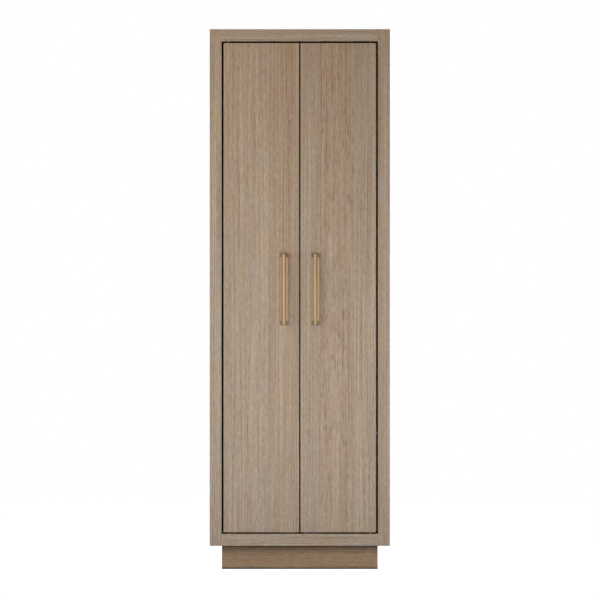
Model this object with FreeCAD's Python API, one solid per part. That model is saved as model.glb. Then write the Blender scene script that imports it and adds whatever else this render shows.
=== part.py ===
import FreeCAD, Part

import math
import os

# A tall two-door broom cupboard in oak veneer, as the separate pieces that a joiner would make.
# X runs to the right as seen from the front, Y from the front to the back, Z up, in millimetres.
# The origin is on the floor, in the middle of the overall box, handles included.

# Case: two full-height sides with the top and the bottom between them
case_width = 610.0
case_height = 1749.0
case_depth = 457.0
case_board = 41.0
case_lipping = 8.0
edge_round = 1.0
opening_ease = 0.8

# Back panel, let into a rebate round the back of the case
back_thickness = 8.0
back_overlap = 12.0
back_edge_clearance = 0.5
back_side_screws = 7
back_end_screws = 3
back_screw_margin = 60.0

# Plinth under the case
plinth_height = 79.0
plinth_side_inset = 41.0
plinth_front_setback = 48.0
plinth_back_setback = 20.0
plinth_board = 19.0
corner_block_side = 60.0
corner_block_height = 48.0
plinth_screw_inset = 12.0

# Levelling feet, screwed up into the corner blocks
foot_stem_diameter = 8.0
foot_pad_diameter = 32.0
foot_pad_height = 8.0
foot_head_room = 5.0
insert_diameter = 12.0
insert_length = 22.0
insert_flange_diameter = 20.0
insert_flange_height = 2.0

# Doors, flush with the front of the case
door_thickness = 22.0
door_side_gap = 5.5
door_top_gap = 5.6
door_bottom_gap = 4.6
meeting_gap = 3.6
door_lipping = 6.0

# Pivot hinges, a pair of leaves at the top and at the bottom of each door
pivot_inset = 18.0
leaf_width = 13.0
leaf_span = 52.0
leaf_thickness = 2.5
leaf_screw_near = 24.0
leaf_screw_far = 44.0
hinge_pin_diameter = 5.0
hinge_pin_head_diameter = 8.0
hinge_pin_head_height = 1.5
hinge_pin_reach = 6.0
hinge_pin_hole_room = 1.0
washer_diameter = 12.0
washer_play = 0.3

# Bar handles, each on a back plate
handle_projection = 36.0
handle_from_middle = 53.0
handle_height = 948.0
handle_bar_length = 240.0
handle_bar_diameter = 12.0
handle_bar_end_round = 1.2
handle_bar_overhang = 5.7
handle_post_diameter = 10.0
handle_collar_diameter = 15.0
handle_collar_height = 5.0
handle_plate_width = 28.0
handle_plate_margin = 2.5
handle_plate_thickness = 2.5
handle_plate_round = 1.0
handle_screw_diameter = 4.0
handle_screw_reach = 12.0
handle_screw_head_diameter = 9.0
handle_screw_head_height = 2.6

# Magnetic catches at the meeting edges
catch_from_middle = 40.0
catch_depth = 18.0
catch_side_wall = 3.0
catch_end_wall = 1.5
catch_ear = 11.0
catch_flange_thickness = 3.0
catch_round = 2.0
magnet_width = 22.0
magnet_height = 12.0
magnet_depth = 7.0
magnet_proud = 1.0
magnet_air = 0.3
strike_width = 32.0
strike_height = 14.0
strike_thickness = 1.5
strike_round = 2.0
strike_margin = 3.0

# Inside: a shelf over a broom bay on the left and a bay of loose shelves on the right
inner_board = 19.0
inner_lipping = 6.0
inner_front_clearance = 3.2
broom_bay_width = 300.0
top_bay_height = 288.0
loose_shelf_count = 3
loose_shelf_side_clearance = 1.5
loose_shelf_back_clearance = 2.0

# Shelf pins and their rows of holes
shelf_pin_diameter = 5.0
shelf_pin_stem = 10.0
shelf_pin_collar_diameter = 8.0
shelf_pin_collar_thickness = 1.2
shelf_pin_peg_diameter = 7.0
shelf_pin_peg_length = 9.0
shelf_pin_flat = 2.5
shelf_pin_hole_room = 1.0
shelf_hole_pitch = 32.0
shelf_hole_inset = 60.0

# Rails on the back panel: one with pegs for brooms, one to fix the case to a wall
rail_thickness = 19.0
rail_end_clearance = 0.5
peg_rail_height = 70.0
peg_rail_drop = 70.0
peg_count = 3
peg_from_rail_screw = 28.0
peg_tenon_diameter = 12.0
peg_tenon_length = 14.0
peg_shoulder_diameter = 17.0
peg_neck_diameter = 12.0
peg_neck_length = 30.0
peg_knob_diameter = 23.0
wall_rail_height = 80.0
wall_hole_diameter = 7.0
wall_hole_spacing = 320.0
rail_screw_inset = 30.0

# Dowels
case_dowel_diameter = 10.0
case_dowel_length = 44.0
case_dowel_count = 4
case_dowel_margin = 60.0
inner_dowel_diameter = 6.0
inner_dowel_length = 24.0
inner_dowel_margin = 70.0

# Countersunk wood screws: a bite is the length in the wood behind what the screw holds
small_screw_shank = 3.0
small_screw_head = 5.8
medium_screw_shank = 3.5
medium_screw_head = 6.8
large_screw_shank = 5.0
large_screw_head = 9.5
hinge_screw_bite = 19.5
catch_screw_bite = 13.0
strike_screw_bite = 12.5
back_screw_bite = 18.0
rail_screw_bite = 14.0
plinth_screw_bite = 24.0
screw_tip_length = 4.0
recess_width = 0.9
recess_share = 0.6
recess_depth = 1.1

# Clearances
seat_clearance = 0.1
running_clearance = 0.05
hole_end_room = 0.5

# Places that lie closer together than this count as one
same_place = 1e-6

# Places that follow from the sizes above
front_y = handle_projection / 2 - case_depth / 2
back_y = front_y + case_depth
case_half = case_width / 2
inner_half = case_half - case_board
case_bottom_z = plinth_height
case_top_z = plinth_height + case_height
inner_bottom_z = case_bottom_z + case_board
inner_top_z = case_top_z - case_board
door_back_y = front_y + door_thickness
door_outer_x = inner_half - door_side_gap
door_width = door_outer_x - meeting_gap / 2
door_bottom_z = inner_bottom_z + door_bottom_gap
door_top_z = inner_top_z - door_top_gap
pivot_x = door_outer_x - pivot_inset
pivot_y = front_y + door_thickness / 2
back_panel_y = back_y - back_thickness
catch_front_y = door_back_y + strike_thickness + magnet_air
catch_body_y = (catch_front_y + magnet_proud, catch_front_y + magnet_proud + catch_depth)
catch_width = magnet_width + 2 * catch_side_wall
catch_flange_width = catch_width + 2 * catch_ear
inner_front_y = catch_body_y[1] + inner_front_clearance
fixed_shelf_z = inner_top_z - top_bay_height - inner_board
broom_bay_height = fixed_shelf_z - inner_bottom_z
loose_shelf_spacing = broom_bay_height / (loose_shelf_count + 1)
handle_post_spacing = handle_bar_length - 2 * handle_bar_overhang
handle_plate_length = handle_bar_length + 2 * handle_plate_margin
handle_plate_y = front_y - handle_plate_thickness
partition_left_x = broom_bay_width - inner_half
partition_right_x = partition_left_x + inner_board
plinth_half = case_half - plinth_side_inset
plinth_front_y = front_y + plinth_front_setback
plinth_back_y = back_y - plinth_back_setback
block_bottom_z = plinth_height - corner_block_height

# Shank diameter, head diameter and length of each screw
hinge_screw = (medium_screw_shank, medium_screw_head, leaf_thickness + hinge_screw_bite)
catch_screw = (small_screw_shank, small_screw_head, catch_flange_thickness + catch_screw_bite)
strike_screw = (small_screw_shank, small_screw_head, strike_thickness + strike_screw_bite)
back_screw = (small_screw_shank, small_screw_head, back_thickness + back_screw_bite)
rail_screw = (medium_screw_shank, medium_screw_head, back_thickness + rail_screw_bite)
plinth_screw = (large_screw_shank, large_screw_head, corner_block_height + plinth_screw_bite)

LEFT, RIGHT = -1, 1
BOTTOM, TOP = -1, 1
SIDES = (LEFT, RIGHT)
ENDS = (BOTTOM, TOP)
AXIS_X = FreeCAD.Vector(1, 0, 0)
AXIS_Y = FreeCAD.Vector(0, 1, 0)
AXIS_Z = FreeCAD.Vector(0, 0, 1)


# Shared shapes

def point(x, y, z):
    return FreeCAD.Vector(x, y, z)


def block(x, y, z):
    """A box from three pairs of limits, each pair in either order."""
    sizes = [abs(high - low) for low, high in (x, y, z)]
    return Part.makeBox(*sizes, point(min(x), min(y), min(z)))


def rod(diameter, start, end):
    """A round rod between two points."""
    axis = end - start
    return Part.makeCylinder(diameter / 2, axis.Length, start, axis)


def evenly(low, high, count):
    """Count places from low to high, both included."""
    step = (high - low) / (count - 1)
    return [low + index * step for index in range(count)]


def carve(piece, tools):
    """Cuts from a piece every tool that reaches it."""
    reached = [tool for tool in tools if piece.BoundBox.intersect(tool.BoundBox)]
    return piece.cut(reached) if reached else piece


def one_solid(shape):
    """The single solid of a shape, with faces that lie in one plane joined."""
    (solid,) = shape.removeSplitter().Solids
    return solid


def along(edge, axis):
    """True if a straight edge runs along an axis."""
    start, end = (vertex.Point for vertex in edge.Vertexes)
    return (end - start).cross(axis).Length < same_place


def edges_between(shape, planes):
    """Edges of a box that lie on two of the given planes, each a pair of axis number and place."""
    def planes_of(edge):
        ends = [vertex.Point for vertex in edge.Vertexes]
        return [p for p in planes if all(abs(end[p[0]] - p[1]) < same_place for end in ends)]
    return [edge for edge in shape.Edges if len(planes_of(edge)) == 2]


def eased_edge(start, end):
    """A square bar set on its corner along an edge, which takes that edge off at 45 degrees."""
    reach = opening_ease
    run = end - start
    axes = [axis for axis in (AXIS_X, AXIS_Y, AXIS_Z) if abs(axis.dot(run)) < same_place]
    corners = [start + axis * way for way in (reach, -reach) for axis in axes]
    outline = Part.makePolygon(corners + corners[:1])
    return Part.Face(outline).extrude(run)


def wood_screw(kind, head, into, room=0.0):
    """A countersunk screw with its head's flat at a point. Room makes the hole for it instead."""
    shank_diameter, head_diameter, length = kind
    shank_radius = shank_diameter / 2 + room
    head_radius = head_diameter / 2 + room
    body_length = length - screw_tip_length
    screw = Part.makeCone(head_radius, shank_radius, head_radius - shank_radius)
    screw = screw.fuse(Part.makeCylinder(shank_radius, body_length))
    tip = Part.makeCone(shank_radius, shank_radius / 4, screw_tip_length + room, AXIS_Z * body_length)
    screw = one_solid(screw.fuse(tip))
    if not room:
        reach = head_radius * recess_share
        half = recess_width / 2
        cross = [
            block((-reach, reach), (-half, half), (0, recess_depth)),
            block((-half, half), (-reach, reach), (0, recess_depth)),
        ]
        screw = screw.cut(cross)
    screw.Placement = FreeCAD.Placement(head, FreeCAD.Rotation(AXIS_Z, into))
    return screw


def screws(kind, places):
    """Screws of one kind at each (head, into)."""
    return [wood_screw(kind, head, into) for head, into in places]


def screw_holes(kind, places):
    """The holes for those screws."""
    return [wood_screw(kind, head, into, seat_clearance) for head, into in places]


def slim_plate(start_x, end_x, y, z, radius):
    """A flat plate with round ends about two points, between two heights."""
    sign = 1 if end_x > start_x else -1
    low = min(z)
    a, b = point(start_x, y - radius, low), point(end_x, y - radius, low)
    c, d = point(end_x, y + radius, low), point(start_x, y + radius, low)
    far_end, near_end = point(end_x + sign * radius, y, low), point(start_x - sign * radius, y, low)
    outline = Part.Wire([
        Part.LineSegment(a, b).toShape(),
        Part.Arc(b, far_end, c).toShape(),
        Part.LineSegment(c, d).toShape(),
        Part.Arc(d, near_end, a).toShape(),
    ])
    return Part.Face(outline).extrude(AXIS_Z * abs(z[1] - z[0]))


# Dowels

def dowel_places():
    """Middle, axis, diameter and length of every dowel, for the case and for the inner boards."""
    case, inner = [], []
    for side in SIDES:
        for z in (case_bottom_z + case_board / 2, case_top_z - case_board / 2):
            for y in evenly(front_y + case_dowel_margin, back_panel_y - case_dowel_margin, case_dowel_count):
                case.append((point(side * inner_half, y, z), AXIS_X))
        for y in (inner_front_y + inner_dowel_margin, back_panel_y - inner_dowel_margin):
            inner.append((point(side * inner_half, y, fixed_shelf_z + inner_board / 2), AXIS_X))
    for y in (inner_front_y + inner_dowel_margin, back_panel_y - inner_dowel_margin):
        for z in (inner_bottom_z, fixed_shelf_z):
            inner.append((point(partition_left_x + inner_board / 2, y, z), AXIS_Z))
    return case, inner


def dowels(places, diameter, length):
    half = length / 2
    return [rod(diameter, middle - axis * half, middle + axis * half) for middle, axis in places]


def dowel_holes():
    case, inner = dowel_places()
    wider, longer = 2 * seat_clearance, 2 * hole_end_room
    return (
        dowels(case, case_dowel_diameter + wider, case_dowel_length + longer)
        + dowels(inner, inner_dowel_diameter + wider, inner_dowel_length + longer)
    )


# Hinges

def hinge_faces(end):
    """Heights of the case face and of the door edge at the top or bottom hinges."""
    return (inner_top_z, door_top_z) if end == TOP else (inner_bottom_z, door_bottom_z)


def leaf_plan(side, heights, room=0.0):
    """The outline of a leaf, from the pin towards the middle of the cupboard."""
    start = side * pivot_x
    return slim_plate(start, start - side * leaf_span, pivot_y, heights, leaf_width / 2 + room)


def leaf_screw_places(side, z, into):
    return [
        (point(side * (pivot_x - distance), pivot_y, z), into)
        for distance in (leaf_screw_near, leaf_screw_far)
    ]


def pivot(side, z):
    """The point of a door's pivot axis at a height."""
    return point(side * pivot_x, pivot_y, z)


def case_leaf(side, end):
    case_z, _ = hinge_faces(end)
    leaf = leaf_plan(side, (case_z, case_z + end * leaf_thickness))
    bore = rod(
        hinge_pin_diameter + 2 * running_clearance,
        pivot(side, case_z),
        pivot(side, case_z + end * leaf_thickness),
    )
    holes = screw_holes(hinge_screw, leaf_screw_places(side, case_z, AXIS_Z * end))
    return carve(leaf, [bore] + holes)


def door_leaf(side, end):
    _, door_z = hinge_faces(end)
    leaf = leaf_plan(side, (door_z, door_z - end * leaf_thickness))
    bore = rod(
        hinge_pin_diameter + 2 * running_clearance,
        pivot(side, door_z),
        pivot(side, door_z - end * leaf_thickness),
    )
    holes = screw_holes(hinge_screw, leaf_screw_places(side, door_z, AXIS_Z * -end))
    return carve(leaf, [bore] + holes)


def hinge_pin(side, end):
    """A headed pin, held behind the case leaf and reaching through the door leaf."""
    case_z, door_z = hinge_faces(end)
    seat = pivot(side, case_z + end * leaf_thickness)
    head = rod(hinge_pin_head_diameter, seat, seat + AXIS_Z * (end * hinge_pin_head_height))
    tip = pivot(side, door_z - end * (leaf_thickness + hinge_pin_reach))
    return one_solid(head.fuse(rod(hinge_pin_diameter, seat, tip)))


def hinge_washer(side, end):
    """A ring on the pin that keeps the door gap. The bottom ones carry the doors."""
    case_z, door_z = hinge_faces(end)
    play = washer_play if end == TOP else 0.0
    low, high = pivot(side, case_z), pivot(side, door_z + end * play)
    ring = rod(washer_diameter, low, high)
    return ring.cut(rod(hinge_pin_diameter + 2 * running_clearance, low, high))


def case_hinge_cuts():
    """What the hinges take out of the top and the bottom of the case."""
    cuts = []
    for side in SIDES:
        for end in ENDS:
            case_z, _ = hinge_faces(end)
            leaf_top = case_z + end * leaf_thickness
            cuts.append(leaf_plan(side, (case_z, leaf_top), seat_clearance))
            cuts.append(rod(
                hinge_pin_head_diameter + 2 * seat_clearance,
                pivot(side, case_z),
                pivot(side, leaf_top + end * hinge_pin_head_height),
            ))
            cuts += screw_holes(hinge_screw, leaf_screw_places(side, case_z, AXIS_Z * end))
    return cuts


def door_hinge_cuts(side):
    """What the hinges take out of the edges of one door."""
    cuts = []
    for end in ENDS:
        _, door_z = hinge_faces(end)
        cuts.append(leaf_plan(side, (door_z, door_z - end * leaf_thickness), seat_clearance))
        cuts.append(rod(
            hinge_pin_diameter + 2 * hinge_pin_hole_room,
            pivot(side, door_z),
            pivot(side, door_z - end * (leaf_thickness + hinge_pin_reach + hinge_pin_hole_room)),
        ))
        cuts += screw_holes(hinge_screw, leaf_screw_places(side, door_z, AXIS_Z * -end))
    return cuts


# Magnetic catches

def strike_z(end):
    """Middle height of the strike plates and magnets, just inside the door's edge."""
    return hinge_faces(end)[1] - end * (strike_margin + strike_height / 2)


def catch_housing(side, end):
    """A small block under a screw flange, with a pocket for the magnet."""
    case_z, _ = hinge_faces(end)
    middle = side * catch_from_middle
    body = block(
        (middle - catch_width / 2, middle + catch_width / 2),
        catch_body_y,
        (case_z, strike_z(end) - end * (magnet_height / 2 + catch_end_wall)),
    )
    body = body.makeFillet(catch_round, [edge for edge in body.Edges if along(edge, AXIS_Z)])
    flange = block(
        (middle - catch_flange_width / 2, middle + catch_flange_width / 2),
        catch_body_y,
        (case_z, case_z - end * catch_flange_thickness),
    )
    flange = flange.makeFillet(catch_round, [edge for edge in flange.Edges if along(edge, AXIS_Z)])
    holes = screw_holes(catch_screw, catch_screw_places(side, end))
    return carve(one_solid(body.fuse(flange)), holes + [catch_magnet(side, end)])


def catch_magnet(side, end):
    middle, middle_z = side * catch_from_middle, strike_z(end)
    return block(
        (middle - magnet_width / 2, middle + magnet_width / 2),
        (catch_front_y, catch_front_y + magnet_depth),
        (middle_z - magnet_height / 2, middle_z + magnet_height / 2),
    )


def catch_screw_places(side, end):
    case_z, _ = hinge_faces(end)
    reach = (catch_width + catch_flange_width) / 4
    middle_y = sum(catch_body_y) / 2
    head_z = case_z - end * catch_flange_thickness
    return [
        (point(side * catch_from_middle + across, middle_y, head_z), AXIS_Z * end)
        for across in (-reach, reach)
    ]


def strike_plate(side, end):
    """The steel plate on the back of a door that its magnet holds."""
    middle, middle_z = side * catch_from_middle, strike_z(end)
    plate = block(
        (middle - strike_width / 2, middle + strike_width / 2),
        (door_back_y, door_back_y + strike_thickness),
        (middle_z - strike_height / 2, middle_z + strike_height / 2),
    )
    plate = plate.makeFillet(strike_round, [edge for edge in plate.Edges if along(edge, AXIS_Y)])
    return carve(plate, screw_holes(strike_screw, strike_screw_places(side)))


def strike_screw_places(side):
    return [
        (point(side * catch_from_middle, door_back_y + strike_thickness, strike_z(end)), -AXIS_Y)
        for end in ENDS
    ]


# Doors and handles

def door_board(side):
    """A whole door with rounded edges and every hole it needs, before its lipping is told apart."""
    outer = side * door_outer_x
    board = block((outer, outer - side * door_width), (front_y, door_back_y), (door_bottom_z, door_top_z))
    board = board.makeFillet(edge_round, board.Edges)
    cuts = door_hinge_cuts(side) + screw_holes(strike_screw, strike_screw_places(side))
    cuts += [handle_screw(side, end, seat_clearance) for end in ENDS]
    return carve(board, cuts)


def door_pieces(side):
    """The door's panel, and the four strips of solid oak round its edges."""
    board = door_board(side)
    outer = side * door_outer_x
    inner = outer - side * door_width
    core_x = (outer - side * door_lipping, inner + side * door_lipping)
    core_z = (door_bottom_z + door_lipping, door_top_z - door_lipping)
    depth, height = (front_y, door_back_y), (door_bottom_z, door_top_z)
    panel = board.common(block(core_x, depth, core_z))
    strips = [
        block((outer, core_x[0]), depth, height),
        block((core_x[1], inner), depth, height),
        block(core_x, depth, (door_bottom_z, core_z[0])),
        block(core_x, depth, (core_z[1], door_top_z)),
    ]
    return panel, [board.common(strip) for strip in strips]


def handle_axis_y():
    return front_y - handle_projection + handle_bar_diameter / 2


def handle_bar(side):
    middle = point(side * handle_from_middle, handle_axis_y(), handle_height)
    half = AXIS_Z * (handle_bar_length / 2)
    bar = rod(handle_bar_diameter, middle - half, middle + half)
    return bar.makeFillet(handle_bar_end_round, [edge for edge in bar.Edges if edge.Closed])


def handle_post_z(end):
    return handle_height + end * handle_post_spacing / 2


def handle_plate(side):
    """A flat plate between the posts and the door, with its front edges rounded and two screw holes."""
    width = [side * handle_from_middle + way * handle_plate_width / 2 for way in SIDES]
    height = [handle_height + way * handle_plate_length / 2 for way in ENDS]
    plate = block(width, (handle_plate_y, front_y), height)
    planes = [(1, handle_plate_y)] + [(0, x) for x in width] + [(2, z) for z in height]
    plate = plate.makeFillet(handle_plate_round, edges_between(plate, planes))
    return plate.cut([handle_screw(side, end, seat_clearance) for end in ENDS])


def handle_post(side, end):
    """A round post with a collar against its plate, hollowed to seat the bar and bored for its screw."""
    foot = point(side * handle_from_middle, handle_plate_y, handle_post_z(end))
    post = rod(handle_post_diameter, foot, point(foot.x, handle_axis_y(), foot.z))
    collar = rod(handle_collar_diameter, foot, foot - AXIS_Y * handle_collar_height)
    reach = AXIS_Z * handle_collar_diameter
    seat = point(foot.x, handle_axis_y(), foot.z)
    saddle = rod(handle_bar_diameter, seat - reach, seat + reach)
    return one_solid(post.fuse(collar)).cut([saddle, handle_screw(side, end, seat_clearance)])


def handle_screw(side, end, room=0.0):
    """A round-headed screw from the back of the door into a handle post. Room makes its hole."""
    seat = point(side * handle_from_middle, door_back_y, handle_post_z(end))
    tip = point(seat.x, front_y - handle_screw_reach - room, seat.z)
    shank = rod(handle_screw_diameter + 2 * room, seat, tip)
    if room:
        return shank
    head = rod(handle_screw_head_diameter, seat, seat + AXIS_Y * handle_screw_head_height)
    rim = [edge for edge in head.Edges if edge.Closed and edge.CenterOfMass.y > head.CenterOfMass.y]
    head = head.makeFillet(handle_screw_head_height / 2, rim)
    slot_half = recess_width / 2
    reach = handle_screw_head_diameter * recess_share / 2
    floor_y = seat.y + handle_screw_head_height - recess_depth
    depth = (floor_y, seat.y + handle_screw_head_height)
    cross = [
        block((seat.x - reach, seat.x + reach), depth, (seat.z - slot_half, seat.z + slot_half)),
        block((seat.x - slot_half, seat.x + slot_half), depth, (seat.z - reach, seat.z + reach)),
    ]
    return one_solid(head.fuse(shank)).cut(cross)


# Inner boards, shelf pins and rails

def loose_shelf_pin_heights():
    return [inner_bottom_z + loose_shelf_spacing * (index + 1) for index in range(loose_shelf_count)]


def pin_walls():
    """The two walls of the shelf bay, each with the way from the wall into the bay."""
    return ((partition_right_x, AXIS_X), (inner_half, -AXIS_X))


def pin_rows_y():
    return (inner_front_y + shelf_hole_inset, back_panel_y - shelf_hole_inset)


def shelf_pin(wall_x, inward, y, z):
    """A stem in the wall, a collar against it and a flat-topped peg under the shelf."""
    wall = point(wall_x, y, z)
    stem = rod(shelf_pin_diameter - 2 * running_clearance, wall, wall - inward * shelf_pin_stem)
    collar = rod(shelf_pin_collar_diameter, wall, wall + inward * shelf_pin_collar_thickness)
    peg_end = wall + inward * shelf_pin_peg_length
    peg = rod(shelf_pin_peg_diameter, wall, peg_end)
    reach = shelf_pin_collar_diameter
    above = block((wall.x, peg_end.x), (y - reach, y + reach), (z + shelf_pin_flat, z + reach))
    return one_solid(stem.fuse([collar, peg])).cut(above)


def shelf_pins():
    return [
        shelf_pin(wall_x, inward, y, z)
        for wall_x, inward in pin_walls()
        for y in pin_rows_y()
        for z in loose_shelf_pin_heights()
    ]


def shelf_pin_holes():
    """At each shelf a hole in use, with a spare one above and below."""
    depth = shelf_pin_stem + shelf_pin_hole_room
    return [
        rod(shelf_pin_diameter, point(wall_x, y, z + step), point(wall_x, y, z + step) - inward * depth)
        for wall_x, inward in pin_walls()
        for y in pin_rows_y()
        for z in loose_shelf_pin_heights()
        for step in (-shelf_hole_pitch, 0, shelf_hole_pitch)
    ]


def lipped(board, split_y):
    """Tells a board apart from the lipping on its front edge."""
    box = board.BoundBox
    reach_x, reach_z = (box.XMin, box.XMax), (box.ZMin, box.ZMax)
    lipping = board.common(block(reach_x, (box.YMin, split_y), reach_z))
    return board.common(block(reach_x, (split_y, box.YMax), reach_z)), lipping


def rounded_front(board, axis):
    """Rounds the two long front edges of an inner board."""
    front = board.BoundBox.YMin
    edges = [
        edge for edge in board.Edges
        if along(edge, axis) and all(abs(vertex.Point.y - front) < same_place for vertex in edge.Vertexes)
    ]
    return board.makeFillet(edge_round, edges)


def fixed_shelf():
    board = block(
        (-inner_half, inner_half),
        (inner_front_y, back_panel_y),
        (fixed_shelf_z, fixed_shelf_z + inner_board),
    )
    return carve(rounded_front(board, AXIS_X), dowel_holes())


def partition():
    board = block(
        (partition_left_x, partition_right_x),
        (inner_front_y, back_panel_y),
        (inner_bottom_z, fixed_shelf_z),
    )
    return carve(rounded_front(board, AXIS_Z), dowel_holes() + shelf_pin_holes())


def loose_shelf(pin_z):
    low = pin_z + shelf_pin_flat
    board = block(
        (partition_right_x + loose_shelf_side_clearance, inner_half - loose_shelf_side_clearance),
        (inner_front_y, back_panel_y - loose_shelf_back_clearance),
        (low, low + inner_board),
    )
    return rounded_front(board, AXIS_X)


def peg_rail_z():
    top = fixed_shelf_z - peg_rail_drop
    return (top - peg_rail_height, top)


def rail_y():
    return (back_panel_y - rail_thickness, back_panel_y)


def peg_places():
    from_wall = rail_screw_inset + peg_from_rail_screw
    row = evenly(from_wall - inner_half, partition_left_x - from_wall, peg_count)
    return [point(x, rail_y()[0], sum(peg_rail_z()) / 2) for x in row]


def peg(seat):
    """A turned peg: tenon, shoulder, tapering neck and round knob."""
    tenon_radius = peg_tenon_diameter / 2
    neck_radius = peg_neck_diameter / 2
    knob_radius = peg_knob_diameter / 2
    knob_middle = peg_neck_length + math.sqrt(knob_radius**2 - neck_radius**2)
    outline = [
        point(0, peg_tenon_length, 0),
        point(tenon_radius, peg_tenon_length, 0),
        point(tenon_radius, 0, 0),
        point(peg_shoulder_diameter / 2, 0, 0),
        point(neck_radius, -peg_neck_length, 0),
    ]
    edges = [Part.LineSegment(a, b).toShape() for a, b in zip(outline, outline[1:])]
    tip = point(0, -knob_middle - knob_radius, 0)
    edges.append(Part.Arc(outline[-1], point(knob_radius, -knob_middle, 0), tip).toShape())
    edges.append(Part.LineSegment(tip, outline[0]).toShape())
    turned = Part.Face(Part.Wire(edges)).revolve(FreeCAD.Vector(), AXIS_Y, 360)
    turned.translate(seat)
    return turned


def peg_holes():
    depth = peg_tenon_length + hole_end_room
    diameter = peg_tenon_diameter + 2 * seat_clearance
    return [rod(diameter, seat, seat + AXIS_Y * depth) for seat in peg_places()]


def rail_screw_places():
    """Screws through the back panel into the ends of the two rails."""
    places = []
    peg_ends = (rail_screw_inset - inner_half, partition_left_x - rail_screw_inset)
    for x in peg_ends:
        places.append((point(x, back_y, sum(peg_rail_z()) / 2), -AXIS_Y))
    for x in (rail_screw_inset - inner_half, inner_half - rail_screw_inset):
        places.append((point(x, back_y, inner_top_z - wall_rail_height / 2), -AXIS_Y))
    return places


def wall_holes():
    """Two holes through the wall rail and the back panel."""
    z = inner_top_z - wall_rail_height / 2
    return [
        rod(wall_hole_diameter, point(side * wall_hole_spacing / 2, rail_y()[0], z),
            point(side * wall_hole_spacing / 2, back_y, z))
        for side in SIDES
    ]


def peg_rail():
    board = block(
        (rail_end_clearance - inner_half, partition_left_x - rail_end_clearance),
        rail_y(),
        peg_rail_z(),
    )
    return carve(rounded_front(board, AXIS_X), peg_holes() + screw_holes(rail_screw, rail_screw_places()))


def wall_rail():
    board = block(
        (rail_end_clearance - inner_half, inner_half - rail_end_clearance),
        rail_y(),
        (inner_top_z - wall_rail_height, inner_top_z),
    )
    return carve(board, wall_holes() + screw_holes(rail_screw, rail_screw_places()))


# Back panel

def back_limits(room=0.0):
    reach = back_overlap - back_edge_clearance + room
    return (
        (-inner_half - reach, inner_half + reach),
        (back_panel_y, back_y),
        (inner_bottom_z - reach, inner_top_z + reach),
    )


def back_screw_places():
    """Screws round the edge of the back panel, in the middle of its overlap."""
    across, margin = inner_half + back_overlap / 2, back_screw_margin
    low, high = inner_bottom_z - back_overlap / 2, inner_top_z + back_overlap / 2
    places = [
        (point(side * across, back_y, z), -AXIS_Y)
        for side in SIDES
        for z in evenly(low + margin, high - margin, back_side_screws)
    ]
    return places + [
        (point(x, back_y, z), -AXIS_Y)
        for z in (low, high)
        for x in evenly(margin - across, across - margin, back_end_screws)
    ]


def back_panel():
    cuts = screw_holes(back_screw, back_screw_places()) + screw_holes(rail_screw, rail_screw_places())
    return carve(block(*back_limits()), cuts + wall_holes())


# Case boards

def case_cuts():
    """Everything that is cut into the four case boards."""
    cuts = [block(*back_limits(back_edge_clearance))]
    cuts += dowel_holes() + case_hinge_cuts() + shelf_pin_holes()
    cuts += screw_holes(back_screw, back_screw_places())
    cuts += screw_holes(plinth_screw, plinth_screw_places())
    for side in SIDES:
        for end in ENDS:
            cuts += screw_holes(catch_screw, catch_screw_places(side, end))
    for side in SIDES:
        x = side * inner_half
        cuts.append(eased_edge(point(x, front_y, inner_bottom_z), point(x, front_y, inner_top_z)))
    for z in (inner_bottom_z, inner_top_z):
        cuts.append(eased_edge(point(-inner_half, front_y, z), point(inner_half, front_y, z)))
    return cuts


def side_board(side):
    outer = side * case_half
    board = block((outer, side * inner_half), (front_y, back_y), (case_bottom_z, case_top_z))
    outside = edges_between(board, [(0, outer), (1, front_y), (2, case_bottom_z), (2, case_top_z)])
    return board.makeFillet(edge_round, outside)


def end_board(end):
    """The top or the bottom of the case, between the sides."""
    outer = case_top_z if end == TOP else case_bottom_z
    board = block((-inner_half, inner_half), (front_y, back_y), (outer, outer - end * case_board))
    return board.makeFillet(edge_round, edges_between(board, [(1, front_y), (2, outer)]))


# Plinth and levelling feet

def block_limits(side, front):
    """Corner block limits in X and Y: front is True at the front of the plinth."""
    outer = side * (plinth_half - plinth_board)
    start = plinth_front_y + plinth_board if front else plinth_back_y - plinth_board
    step = corner_block_side if front else -corner_block_side
    return (outer, outer - side * corner_block_side), (start, start + step)


def foot_places():
    """Middle of each corner block, by name."""
    places = {}
    for depth_name, front in (("front", True), ("back", False)):
        for side_name, side in (("left", LEFT), ("right", RIGHT)):
            x, y = block_limits(side, front)
            places[depth_name + "_" + side_name] = point(sum(x) / 2, sum(y) / 2, 0)
    return places


def plinth_screw_places():
    """Two screws up through each corner block, on a diagonal beside its foot."""
    places = []
    offset = corner_block_side / 2 - plinth_screw_inset
    for middle in foot_places().values():
        for step in (-offset, offset):
            places.append((point(middle.x + step, middle.y + step, block_bottom_z), AXIS_Z))
    return places


def corner_blocks():
    cuts = screw_holes(plinth_screw, plinth_screw_places())
    for middle in foot_places().values():
        low, high = middle + AXIS_Z * block_bottom_z, middle + AXIS_Z * plinth_height
        cuts.append(rod(insert_diameter + 2 * seat_clearance, low, high))
    blocks = []
    for side in SIDES:
        for front in (True, False):
            x, y = block_limits(side, front)
            blocks.append(carve(block(x, y, (block_bottom_z, plinth_height)), cuts))
    return blocks


def foot_insert(middle):
    """A threaded sleeve in a corner block, with a flange against the block's underside."""
    seat = middle + AXIS_Z * block_bottom_z
    top, bottom = seat + AXIS_Z * insert_length, seat - AXIS_Z * insert_flange_height
    sleeve = rod(insert_diameter, bottom, top)
    flange = rod(insert_flange_diameter, bottom, seat)
    bore = rod(foot_stem_diameter + 2 * running_clearance, bottom, top)
    return one_solid(sleeve.fuse(flange)).cut(bore)


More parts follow.
